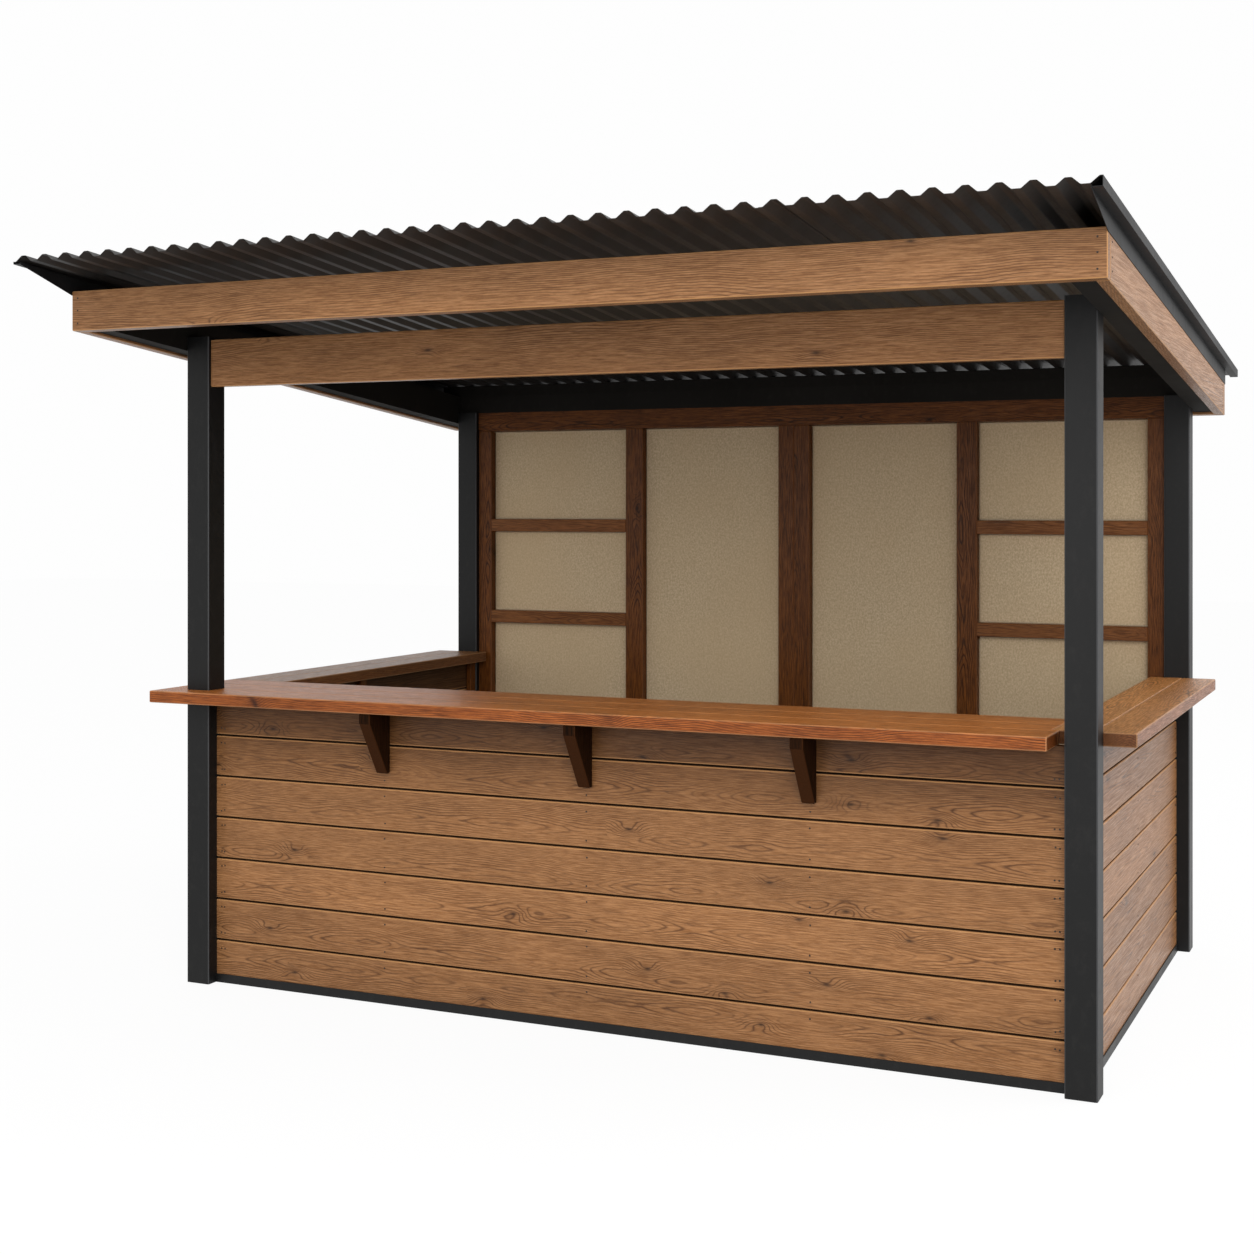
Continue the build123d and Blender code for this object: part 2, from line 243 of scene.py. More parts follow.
def timber(name, tones, turn=None, shift=(0.0, 0.0, 0.0), ring=0.008, wander=0.1, knots=0.4, depth=0.8,
           sheen=(0.28, 0.42), gloss=0.2, edge=None, stretch=1.0):
    """A sawn board's finish; tones are its light, middle, dark and knot colours, and edge is a painted
    highlight on the eased edges.
    Without a turn the grain follows the piece's own marks: grain, tint and cut_end, and the marks for painted
    shade in the seams and on board backs, painted light on plank tops and painted shade under the counter."""
    finish, tree, shader = open_finish(name)
    light, middle, dark, heart = tones
    own = turn is None
    if own:
        place = put(tree, "ShaderNodeAttribute", attribute_name="grain").outputs["Vector"]
    else:
        place = surface_place(tree, turn, shift, stretch)
    feeds = {"Place": place, "Ring Width": ring, "Wander": wander, "Knot Share": knots}
    marks = put(tree, "ShaderNodeGroup", feeds, node_tree=timber_figure).outputs
    colour = blend(tree, marks["Streaks"], middle, light)
    for label, share, tone in (("Rings", depth, dark), ("Pores", PORE_DEPTH, dark),
                               ("Swirls", SWIRL_DEPTH, dark), ("Knots", KNOT_DEPTH, heart)):
        colour = blend(tree, maths(tree, "MULTIPLY", marks[label], share), colour, tone)
    shade = spread(tree, marks["Mottle"], 0.0, 1.0, *MOTTLE_SHADES)
    if own:
        painted_seam_shade = piece_mark(tree, "painted_seam_shade")
        shade = maths(tree, "MULTIPLY", shade, piece_mark(tree, "tint"))
        # End grain is darker; the seams and board backs get painted shade.
        for mark, loss in ((piece_mark(tree, "cut_end"), END_LOSS), (painted_seam_shade, SEAM_SHADE_LOSS)):
            shade = maths(tree, "MULTIPLY", shade, maths(tree, "MULTIPLY_ADD", mark, -loss, 1.0))
    shades = put(tree, "ShaderNodeCombineColor", {0: shade, 1: shade, 2: shade}).outputs[0]
    colour = blend(tree, 1.0, colour, shades, "MULTIPLY")
    # Painted light on plank tops and painted shade on boards under the counter.
    if own:
        colour = blend(tree, piece_mark(tree, "worn_tone_and_top_light"), colour, TOP_LIGHT_SHARES, "MULTIPLY")
        colour = blend(tree, piece_mark(tree, "painted_counter_shade"), colour, COUNTER_SHADE_SHARES, "MULTIPLY")
    # Painted highlight along the eased edges.
    if edge is not None:
        rim = put(tree, "ShaderNodeGroup", node_tree=eased_edge).outputs["Edge"]
        colour = blend(tree, maths(tree, "MULTIPLY", rim, TIMBER_EDGE_HIGHLIGHT), colour, edge)
    tree.links.new(colour, shader.inputs["Base Color"])
    rough = spread(tree, marks["Streaks"], 0.0, 1.0, sheen[1], sheen[0])
    if own:
        rough = maths(tree, "MULTIPLY_ADD", painted_seam_shade, 0.6, rough, clamp=True)
    tree.links.new(rough, shader.inputs["Roughness"])
    height = maths(tree, "MULTIPLY_ADD", marks["Rings"], -0.5, marks["Streaks"])
    height = maths(tree, "MULTIPLY_ADD", marks["Pores"], -0.8, height)
    bump = put(tree, "ShaderNodeBump", {"Strength": 0.35, "Distance": 0.0012, "Height": height})
    tree.links.new(bump.outputs["Normal"], shader.inputs["Normal"])
    shader.inputs["Specular IOR Level"].default_value = gloss
    return finish


def painted_steel(name, tone, worn_tone_and_top_light, sheen=(0.38, 0.52), peel=220.0, strength=0.06, gloss=0.4, edge=None):
    """Satin paint on steel."""
    finish, tree, shader = open_finish(name)
    place = put(tree, "ShaderNodeTexCoord").outputs["Object"]
    marks = put(tree, "ShaderNodeGroup", {"Place": place, "Peel": peel}, node_tree=coat_marks).outputs
    colour = blend(tree, maths(tree, "MULTIPLY", marks["Cloud"], 0.5), tone, worn_tone_and_top_light)
    colour = blend(tree, maths(tree, "MULTIPLY", marks["Dust"], DUST_SHARE), colour, DUST_TONE)
    # Painted highlight along the eased edges.
    if edge is not None:
        rim = put(tree, "ShaderNodeGroup", node_tree=eased_edge).outputs["Edge"]
        colour = blend(tree, maths(tree, "MULTIPLY", rim, STEEL_EDGE_HIGHLIGHT), colour, edge)
    tree.links.new(colour, shader.inputs["Base Color"])
    rough = spread(tree, marks["Cloud"], 0.0, 1.0, *sheen)
    rough = maths(tree, "MULTIPLY_ADD", marks["Dust"], DUST_SHARE, rough)
    tree.links.new(rough, shader.inputs["Roughness"])
    bump = put(tree, "ShaderNodeBump", {"Strength": strength, "Distance": 0.0006, "Height": marks["Peel"]})
    tree.links.new(bump.outputs["Normal"], shader.inputs["Normal"])
    shader.inputs["Specular IOR Level"].default_value = gloss
    return finish


def lining_board(name, edge=None):
    """Beige pressed board with a fine fibre texture."""
    finish, tree, shader = open_finish(name)
    place = put(tree, "ShaderNodeTexCoord").outputs["Object"]
    fibre = cloud(tree, stretched(tree, place, 150.0, 150.0, 110.0), 3.0, 0.65)
    fleck = spread(tree, cloud(tree, stretched(tree, place, 330.0, 330.0, 330.0), 2.0), 0.55, 0.75)
    tone = spread(tree, cloud(tree, stretched(tree, place, 2.6, 2.6, 2.0), 3.0), 0.3, 0.7)
    colour = blend(tree, spread(tree, fibre, 0.35, 0.65), paint(192, 168, 133), paint(224, 202, 168))
    colour = blend(tree, maths(tree, "MULTIPLY", tone, 0.5), colour, paint(206, 179, 140))
    colour = blend(tree, maths(tree, "MULTIPLY", fleck, 0.35), colour, paint(160, 133, 99))
    # Painted highlight along the panels' eased edges.
    if edge is not None:
        rim = put(tree, "ShaderNodeGroup", node_tree=eased_edge).outputs["Edge"]
        colour = blend(tree, rim, colour, edge)
    tree.links.new(colour, shader.inputs["Base Color"])
    tree.links.new(spread(tree, fibre, 0.3, 0.7, 0.8, 0.95), shader.inputs["Roughness"])
    bump = put(tree, "ShaderNodeBump", {"Strength": 0.35, "Distance": 0.0012, "Height": fibre})
    tree.links.new(bump.outputs["Normal"], shader.inputs["Normal"])
    shader.inputs["Specular IOR Level"].default_value = 0.25
    return finish


light_brown = (paint(177, 127, 83), paint(136, 91, 53), paint(80, 48, 26), paint(50, 30, 16))
fascia_brown = (paint(174, 126, 84), paint(133, 90, 54), paint(78, 48, 26), paint(46, 28, 15))
red_brown = (paint(166, 92, 40), paint(116, 57, 20), paint(54, 24, 8), paint(44, 19, 7))
side_brown = (paint(160, 99, 53), paint(114, 66, 31), paint(50, 26, 11), paint(40, 20, 9))
dark_brown = (paint(124, 72, 30), paint(76, 41, 15), paint(30, 15, 5), paint(22, 10, 3))
# Painted shade: brackets are toned very dark to stand for the counter's shadow over them.
shaded_bracket_brown = (paint(46, 24, 9), paint(28, 14, 5), paint(13, 6, 2), paint(9, 4, 2))
rail_brown = (paint(142, 90, 48), paint(106, 62, 30), paint(56, 31, 14), paint(36, 19, 8))
# Painted highlights for the eased edges of boards, fascias, header, studs and rails.
pale_arris_highlight = paint(204, 152, 100)
dim_arris_highlight = paint(122, 76, 44)
board_finish = timber("wall_board_finish", light_brown, edge=pale_arris_highlight)
counter_figure = {"ring": 0.01, "wander": 0.08, "knots": 0.05, "depth": 0.85, "sheen": (0.3, 0.44)}
# The counters' edge colours are painted highlights.
counter_finish = timber("counter_plank_finish", red_brown, edge=paint(228, 168, 116), **counter_figure)
side_counter_finish = timber("side_counter_plank_finish", side_brown, edge=paint(206, 158, 112),
                             **counter_figure)
# The posts' edge colour is a painted highlight.
post_finish = painted_steel("post_paint", paint(20, 20, 20), paint(15, 15, 15), gloss=0.23,
                            edge=paint(84, 85, 87))
# Near-black steel paint; on the back eaves beam its darkness is also painted shade under the back of the
# roof.
frame_finish = painted_steel("roof_frame_paint", paint(30, 28, 25), paint(23, 21, 19), (0.7, 0.85),
                             gloss=0.12)
sheet_coat = {"peel": 140.0, "strength": 0.05}
roof_finish = painted_steel("roof_paint", paint(43, 41, 39), paint(35, 33, 32), (0.44, 0.52),
                            gloss=0.26, **sheet_coat)
# Painted shade: the flashings and verge trims take a darker copy of the roof paint.
flashing_finish = painted_steel("flashing_paint", paint(25, 25, 26), paint(20, 20, 21), (0.46, 0.56),
                                gloss=0.18, **sheet_coat)
nail_finish = painted_steel("nail_steel", paint(52, 40, 32), paint(30, 24, 20), (0.45, 0.6),
                            peel=900.0, strength=0.1)
screw_finish = painted_steel("screw_paint", paint(50, 49, 48), paint(38, 37, 36), (0.35, 0.5),
                             peel=700.0, strength=0.05)
lining_finish = lining_board("lining_finish")
# The panels' edge colour is a painted highlight.
panel_finish = lining_board("panel_finish", paint(236, 222, 194))


# Making trees

def open_tree(name, inputs):
    """An empty Geometry Nodes tree with named inputs."""
    tree = bpy.data.node_groups.new(name, "GeometryNodeTree")
    tree.interface.new_socket("Geometry", in_out="INPUT", socket_type="NodeSocketGeometry")
    for label, kind in inputs:
        tree.interface.new_socket(label, in_out="INPUT", socket_type=kind)
    tree.interface.new_socket("Geometry", in_out="OUTPUT", socket_type="NodeSocketGeometry")
    return tree, put(tree, "NodeGroupInput").outputs, put(tree, "NodeGroupOutput").inputs


def marked(tree, geometry, label, value, kind="FLOAT_VECTOR", domain="POINT"):
    """Geometry that carries a named mark."""
    feeds = {"Geometry": geometry, "Name": label, "Value": value}
    store = put(tree, "GeometryNodeStoreNamedAttribute", feeds, data_type=kind, domain=domain)
    return store.outputs["Geometry"]


def mark_of(tree, label, kind="FLOAT_VECTOR"):
    """Reads a named mark."""
    return put(tree, "GeometryNodeInputNamedAttribute", {"Name": label}, data_type=kind).outputs["Attribute"]


def part_of(tree, kind, axis):
    """One direction of a field, such as the position or the normal."""
    return put(tree, "ShaderNodeSeparateXYZ", {0: put(tree, kind).outputs[0]}).outputs[axis]


# How far below the top the painted shade of the counter reaches.
COUNTER_SHADE_REACH = 0.42
SEAM_DARKENS = (0.0042, 0.0055)
SEAM_ENDS = (0.0152, 0.0162)
BOARD_TINTS = (0.86, 1.08)
FROM_HEART = (-0.12, -0.03)


def make_board_tree():
    """A stack of equal boards: one section run along its length and repeated upwards."""
    tree, given, result = open_tree("stack_of_boards", [
        ("Length", "NodeSocketFloat"), ("Count", "NodeSocketInt"), ("Pitch", "NodeSocketFloat"),
        ("Turn", "NodeSocketFloat"), ("Corner", "NodeSocketVector"), ("Uneven", "NodeSocketFloat"),
        ("Top", "NodeSocketFloat"), ("Counter Shade", "NodeSocketFloat"), ("Grain Stretch", "NodeSocketFloat"),
        ("Seed", "NodeSocketInt"), ("Finish", "NodeSocketMaterial")])
    section = put(tree, "GeometryNodeMeshToCurve", {"Mesh": given["Geometry"]}).outputs["Curve"]
    end = put(tree, "ShaderNodeCombineXYZ", {0: given["Length"]}).outputs[0]
    line = put(tree, "GeometryNodeCurvePrimitiveLine", {"End": end}).outputs["Curve"]
    board = put(tree, "GeometryNodeCurveToMesh",
                {"Curve": line, "Profile Curve": section, "Fill Caps": True}).outputs["Mesh"]
    board = marked(tree, board, "grain", put(tree, "GeometryNodeInputPosition").outputs[0])
    facing = part_of(tree, "GeometryNodeInputNormal", 0)
    is_end = maths(tree, "GREATER_THAN", maths(tree, "ABSOLUTE", facing), SQUARE_ON)
    board = marked(tree, board, "cut_end", is_end, "FLOAT", "FACE")
    # Painted shade: faces inside the seams are darkened fully and the board backs by half.
    depth = part_of(tree, "GeometryNodeInputPosition", 1)
    into_seam = spread(tree, depth, *SEAM_DARKENS)
    behind = spread(tree, depth, *SEAM_ENDS, 1.0, 0.5)
    board = marked(tree, board, "painted_seam_shade", maths(tree, "MULTIPLY", into_seam, behind), "FLOAT")
    rise = put(tree, "ShaderNodeCombineXYZ", {2: given["Pitch"]}).outputs[0]
    levels = put(tree, "GeometryNodeMeshLine", {"Count": given["Count"], "Offset": rise}).outputs["Mesh"]
    stack = put(tree, "GeometryNodeInstanceOnPoints", {"Points": levels, "Instance": board})
    stack = stack.outputs["Instances"]
    rank = put(tree, "GeometryNodeInputIndex").outputs[0]
    nearest = (-GRAIN_SPAN, -GRAIN_SPAN, FROM_HEART[0])
    furthest = (GRAIN_SPAN, GRAIN_SPAN, FROM_HEART[1])
    chance = put(tree, "FunctionNodeRandomValue",
                 {"Min": nearest, "Max": furthest, "ID": rank, "Seed": given["Seed"]},
                 data_type="FLOAT_VECTOR").outputs[0]
    stack = marked(tree, stack, "shift", chance, domain="INSTANCE")

    def draw(low, high, step):
        """One random value for each board."""
        feeds = {2: low, 3: high, "ID": rank, "Seed": maths(tree, "ADD", given["Seed"], step)}
        return put(tree, "FunctionNodeRandomValue", feeds, data_type="FLOAT").outputs[1]

    stack = marked(tree, stack, "tint", draw(*BOARD_TINTS, 5.0), "FLOAT", "INSTANCE")
    nudge = draw(-1.0, 1.0, 9.0)
    nudge = put(tree, "ShaderNodeCombineXYZ", {1: maths(tree, "MULTIPLY", nudge, given["Uneven"])}).outputs[0]
    stack = put(tree, "GeometryNodeTranslateInstances", {"Instances": stack, "Translation": nudge}).outputs[0]
    whole = put(tree, "GeometryNodeRealizeInstances", {0: stack}).outputs[0]
    pull = put(tree, "ShaderNodeCombineXYZ", {0: given["Grain Stretch"], 1: 1.0, 2: 1.0}).outputs[0]
    own = put(tree, "ShaderNodeVectorMath", {0: mark_of(tree, "grain"), 1: pull, 2: mark_of(tree, "shift")},
              operation="MULTIPLY_ADD").outputs[0]
    whole = marked(tree, whole, "grain", own)
    # Painted shade: the boards darken towards the top, where the counter casts its shadow.
    height = part_of(tree, "GeometryNodeInputPosition", 2)
    counter_shade = put(tree, "ShaderNodeMapRange", {
        "Value": maths(tree, "SUBTRACT", given["Top"], height), "From Min": COUNTER_SHADE_REACH, "From Max": 0.0},
        interpolation_type="SMOOTHSTEP").outputs["Result"]
    whole = marked(tree, whole, "painted_counter_shade", maths(tree, "MULTIPLY", counter_shade, given["Counter Shade"]), "FLOAT")
    whole = put(tree, "GeometryNodeRemoveAttribute", {"Geometry": whole, "Name": "shift"}).outputs[0]
    turn = put(tree, "ShaderNodeCombineXYZ", {2: given["Turn"]}).outputs[0]
    turn = put(tree, "FunctionNodeEulerToRotation", {0: turn}).outputs[0]
    whole = put(tree, "GeometryNodeTransform",
                {"Geometry": whole, "Translation": given["Corner"], "Rotation": turn}).outputs[0]
    whole = put(tree, "GeometryNodeSetShadeSmooth", {"Geometry": whole, "Shade Smooth": False}).outputs[0]
    whole = put(tree, "GeometryNodeSetMaterial", {"Geometry": whole, "Material": given["Finish"]}).outputs[0]
    tree.links.new(whole, result["Geometry"])
    return tree


def make_head_tree():
    """Heads of nails or screws on marked points: a flange and a cap, facing one way."""
    tree, given, result = open_tree("heads_on_points", [
        ("Flange Radius", "NodeSocketFloat"), ("Flange Height", "NodeSocketFloat"),
        ("Cap Sides", "NodeSocketInt"), ("Cap Radius", "NodeSocketFloat"), ("Cap Height", "NodeSocketFloat"),
        ("Facing", "NodeSocketVector"), ("Seed", "NodeSocketInt"), ("Finish", "NodeSocketMaterial")])
    rim = maths(tree, "MULTIPLY", given["Flange Radius"], 0.82)
    flange = put(tree, "GeometryNodeMeshCone", {"Vertices": 12, "Radius Top": rim,
                 "Radius Bottom": given["Flange Radius"], "Depth": given["Flange Height"]}).outputs["Mesh"]
    crown = maths(tree, "MULTIPLY", given["Cap Radius"], 0.86)
    cap = put(tree, "GeometryNodeMeshCone", {"Vertices": given["Cap Sides"], "Radius Top": crown,
              "Radius Bottom": given["Cap Radius"], "Depth": given["Cap Height"]}).outputs["Mesh"]
    lift = maths(tree, "MULTIPLY", given["Flange Height"], 0.8)
    lift = put(tree, "ShaderNodeCombineXYZ", {2: lift}).outputs[0]
    cap = put(tree, "GeometryNodeTransform", {"Geometry": cap, "Translation": lift}).outputs[0]
    head = put(tree, "GeometryNodeJoinGeometry")
    tree.links.new(flange, head.inputs[0])
    tree.links.new(cap, head.inputs[0])
    aim = put(tree, "FunctionNodeAlignRotationToVector", {"Vector": given["Facing"]}, axis="Z").outputs[0]
    rows = put(tree, "GeometryNodeInstanceOnPoints", {
        "Points": given["Geometry"], "Instance": head.outputs[0], "Rotation": aim}).outputs["Instances"]
    spin = put(tree, "FunctionNodeRandomValue",
               {2: 0.0, 3: 2 * math.pi, "Seed": given["Seed"]}, data_type="FLOAT").outputs[1]
    spin = put(tree, "ShaderNodeCombineXYZ", {2: spin}).outputs[0]
    spin = put(tree, "FunctionNodeEulerToRotation", {0: spin}).outputs[0]
    rows = put(tree, "GeometryNodeRotateInstances", {"Instances": rows, "Rotation": spin}).outputs[0]
    whole = put(tree, "GeometryNodeRealizeInstances", {0: rows}).outputs[0]
    whole = put(tree, "GeometryNodeSetMaterial", {"Geometry": whole, "Material": given["Finish"]}).outputs[0]
    tree.links.new(whole, result["Geometry"])
    return tree


board_tree = make_board_tree()
head_tree = make_head_tree()


def grown(name, start, tree, values):
    """A plain mesh piece from a starting mesh, a tree and its named inputs."""
    piece = bpy.data.objects.new(name, start)
    scene.collection.objects.link(piece)
    modifier = piece.modifiers.new("Making", "NODES")
    modifier.node_group = tree
    for item in tree.interface.items_tree:
        if item.item_type == "SOCKET" and item.in_out == "INPUT" and item.name in values:
            modifier[item.identifier] = values[item.name]
    bpy.context.view_layer.update()
    shape = bpy.data.meshes.new_from_object(piece.evaluated_get(bpy.context.evaluated_depsgraph_get()))
    piece.modifiers.clear()
    piece.data = shape
    shape.name = name
    return piece


def settled(piece, slot, *stands_for):
    """The piece rides on the stall and hides the nodes that it stands for. The slot argument is not used."""
    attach(piece, "root")
    if stands_for:
        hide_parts(*stands_for)
    return piece


def shaped(name, shape, finish, slot, *stands_for):
    """A piece of the stall from a worked shape and its finish."""
    mesh = bpy.data.meshes.new(name)
    shape.to_mesh(mesh)
    shape.free()
    mesh.materials.append(finish)
    piece = bpy.data.objects.new(name, mesh)
    scene.collection.objects.link(piece)
    return settled(piece, slot, *stands_for)


# Tongue and groove boards of the walls

BOARD_PITCH = 0.1538
BOARD_FOOT = 0.0062
BOARD_GAP = 0.0074
UNEVEN = 0.0005
HEAD_CLEARANCE = 0.003
SIDE_STRETCH = 0.45
ARRIS = 0.004
TONGUE = 0.004
TONGUE_REACH = 0.008
TONGUE_PLAY = 0.0004
TONGUE_PLACE_SHARE = 0.6
ROUNDING_SHARE = 0.35


def board_section(thickness):
    """Outline of a board's end: face at zero depth, tongue on top, groove below."""
    top = BOARD_PITCH - BOARD_GAP / 2
    low = BOARD_GAP / 2
    near = TONGUE_PLACE_SHARE * thickness
    far = near + TONGUE
    bend = ROUNDING_SHARE * ARRIS
    groove_near = near - TONGUE_PLAY
    groove_far = far + TONGUE_PLAY
    back = thickness - ARRIS
    outline = [
        (0.0, low + ARRIS), (0.0, top - ARRIS), (bend, top - bend), (ARRIS, top),
        (near, top), (near, top + TONGUE_REACH), (far, top + TONGUE_REACH), (far, top),
        (back, top), (thickness, top - ARRIS), (thickness, low + ARRIS), (back, low),
        (groove_far, low), (groove_far, low + TONGUE_REACH), (groove_near, low + TONGUE_REACH),
        (groove_near, low), (ARRIS, low), (bend, low + bend),
    ]
    section = bpy.data.meshes.new("board_section")
    count = len(outline)
    corners = [(-y, -z, 0.0) for y, z in reversed(outline)]
    section.from_pydata(corners, [(i, (i + 1) % count) for i in range(count)], [])
    return section


def trimmed(piece, level):
    """Boards sawn off at a level, with the cut closed."""
    shape = bmesh.new()
    shape.from_mesh(piece.data)
    cut = bmesh.ops.bisect_plane(shape, geom=shape.verts[:] + shape.edges[:] + shape.faces[:], dist=1e-6,
                                 plane_co=(0, 0, level), plane_no=(0, 0, 1), clear_outer=True)
    edges = [e for e in cut["geom_cut"] if isinstance(e, bmesh.types.BMEdge)]
    bmesh.ops.holes_fill(shape, edges=edges)
    shape.to_mesh(piece.data)
    shape.free()


def wall_of_boards(name, node, seed, turn, corner, length, thickness, top, counter_shade, stretch=1.0):
    """Boards that stand for a wall's cladding, from the ground channel up to a level.
    Towards the top they carry painted shade that stands for the counter's shadow."""
    count = math.ceil((top - BOARD_FOOT) / BOARD_PITCH)
    piece = grown(name, board_section(thickness), board_tree, {
        "Length": length, "Count": count, "Pitch": BOARD_PITCH, "Turn": turn, "Corner": corner,
        "Uneven": UNEVEN, "Top": top - BOARD_FOOT, "Counter Shade": counter_shade, "Grain Stretch": stretch, "Seed": seed,
        "Finish": board_finish})
    trimmed(piece, top)
    return settled(piece, "cladding_timber", node)


front_low, front_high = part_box("front_cladding")
left_low, left_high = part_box("left_cladding")
right_low, right_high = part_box("right_cladding")
back_low, back_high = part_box("back_cladding")
board_depth = front_high.y - front_low.y - 2 * UNEVEN
wall_of_boards("front_boards", "front_cladding", 3, 0.0,
               (front_low.x, front_low.y + UNEVEN, BOARD_FOOT), front_high.x - front_low.x, board_depth,
               front_high.z, counter_shade=1.0)
wall_of_boards("right_boards", "right_cladding", 11, math.pi / 2,
               (right_high.x - UNEVEN, right_low.y, BOARD_FOOT), right_high.y - right_low.y, board_depth,
               right_high.z, counter_shade=0.45, stretch=SIDE_STRETCH)
wall_of_boards("left_boards", "left_cladding", 23, -math.pi / 2,
               (left_low.x + UNEVEN, left_high.y, BOARD_FOOT), left_high.y - left_low.y, board_depth,
               left_high.z, counter_shade=1.0, stretch=SIDE_STRETCH)
wall_of_boards("back_boards", "back_cladding", 31, math.pi,
               (back_high.x, back_high.y - UNEVEN, BOARD_FOOT), back_high.x - back_low.x, board_depth,
               back_high.z - HEAD_CLEARANCE, counter_shade=0.0)


# Counter planks

PLANK_EASE = 0.004
PLANK_SEAM = 0.0016
POST_CLEARANCE = 0.0003
PLANK_FROM_HEART = 0.05
PLANK_TINTS = (0.92, 1.06)


def planks(name, node, outlines, long_way, seed, finish, tone=1.0):
    """Thick planks cut to outlines seen from above, eased all round, that stand for a counter."""
    low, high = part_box(node)
    chance = random.Random(seed)
    shape = bmesh.new()
    grain = shape.verts.layers.float_vector.new("grain")
    tint = shape.verts.layers.float.new("tint")
    cut_end = shape.faces.layers.float.new("cut_end")
    worn_tone_and_top_light = shape.faces.layers.float.new("worn_tone_and_top_light")
    for outline in outlines:
        before = set(shape.verts)
        foot = [shape.verts.new((x, y, low.z)) for x, y in outline]
        top = shape.faces.new(foot)
        block = bmesh.ops.extrude_face_region(shape, geom=[top])["geom"]
        raised = [part for part in block if isinstance(part, bmesh.types.BMVert)]
        bmesh.ops.translate(shape, verts=raised, vec=(0, 0, high.z - low.z))
        corners = [v for v in shape.verts if v not in before]
        faces = {f for v in corners for f in v.link_faces}
        bmesh.ops.recalc_face_normals(shape, faces=list(faces))
        edges = list({e for v in corners for e in v.link_edges})
        bmesh.ops.bevel(shape, geom=edges, offset=PLANK_EASE, segments=2, profile=0.5, affect="EDGES")
        fresh = [v for v in shape.verts if v not in before]
        middle = sum((Vector((x, y, 0.0)) for x, y in outline), Vector()) / len(outline)
        shift = Vector([chance.uniform(-span, span) for span in (GRAIN_SPAN, GRAIN_SPAN, PLANK_FROM_HEART)])
        # The counter's tone is painted shade on the left counter and painted light on the right; each plank
        # also varies at random.
        shade = tone * chance.uniform(*PLANK_TINTS)
        for v in fresh:
            flat = v.co - middle
            if long_way == "X":
                v[grain] = shift + Vector((flat.x, flat.z, flat.y))
            else:
                v[grain] = shift + Vector((flat.y, flat.z, flat.x))
            v[tint] = shade
        for f in {f for v in fresh for f in v.link_faces}:
            f[cut_end] = 1.0 if abs(f.normal.x if long_way == "X" else f.normal.y) > SQUARE_ON else 0.0
            # Painted light: plank tops are marked to be lightened.
            f[worn_tone_and_top_light] = 1.0 if f.normal.z > SQUARE_ON else 0.0
    return shaped(name, shape, finish, "counter_timber", node)


def strip(x_0, x_1, y_0, y_1):
    """Corners of a straight plank."""
    return [(x_0, y_0), (x_1, y_0), (x_1, y_1), (x_0, y_1)]


half_seam = PLANK_SEAM / 2
top_low, top_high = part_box("front_counter")
post_low, post_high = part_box("front_left_post")
third = (top_high.y - top_low.y) / 3
first_seam = top_low.y + third
second_seam = top_low.y + 2 * third
hole_left = post_low.x - POST_CLEARANCE
hole_right = post_high.x + POST_CLEARANCE
hole_front = post_low.y - POST_CLEARANCE
hole_back = post_high.y + POST_CLEARANCE
inner_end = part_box("right_counter")[0].x
front_plank = [
    (top_low.x, top_low.y), (top_high.x, top_low.y), (top_high.x, first_seam - half_seam),
    (hole_right, first_seam - half_seam), (hole_right, hole_front), (hole_left, hole_front),
    (hole_left, first_seam - half_seam), (top_low.x, first_seam - half_seam),
]
middle_plank = [
    (top_low.x, first_seam + half_seam), (hole_left, first_seam + half_seam), (hole_left, hole_back),
    (hole_right, hole_back), (hole_right, first_seam + half_seam), (top_high.x, first_seam + half_seam),
    (top_high.x, post_high.y), (inner_end, post_high.y), (inner_end, second_seam - half_seam),
    (top_low.x, second_seam - half_seam),
]
back_plank = strip(top_low.x, inner_end, second_seam + half_seam, top_high.y)
planks("front_counter_planks", "front_counter", [front_plank, middle_plank, back_plank], "X", 5,
       counter_finish)
# Painted shade on the left counter, toned darker where the stall's shade falls, and painted light on the
# right one, toned a little lighter.
for side, seed, tone in (("left", 8, 0.55), ("right", 13, 1.05)):
    low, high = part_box(f"{side}_counter")
    seam = (low.x + high.x) / 2
    pair = [strip(low.x, seam - half_seam, low.y, high.y), strip(seam + half_seam, high.x, low.y, high.y)]
    planks(f"{side}_counter_planks", f"{side}_counter", pair, "Y", seed, side_counter_finish, tone)


# Lining panels between the studs of the back wall

PANEL_THICKNESS = 0.006
PANEL_CLEARANCE = 0.0025
PANEL_EASE = 0.0022
PANEL_FOOT = 0.004


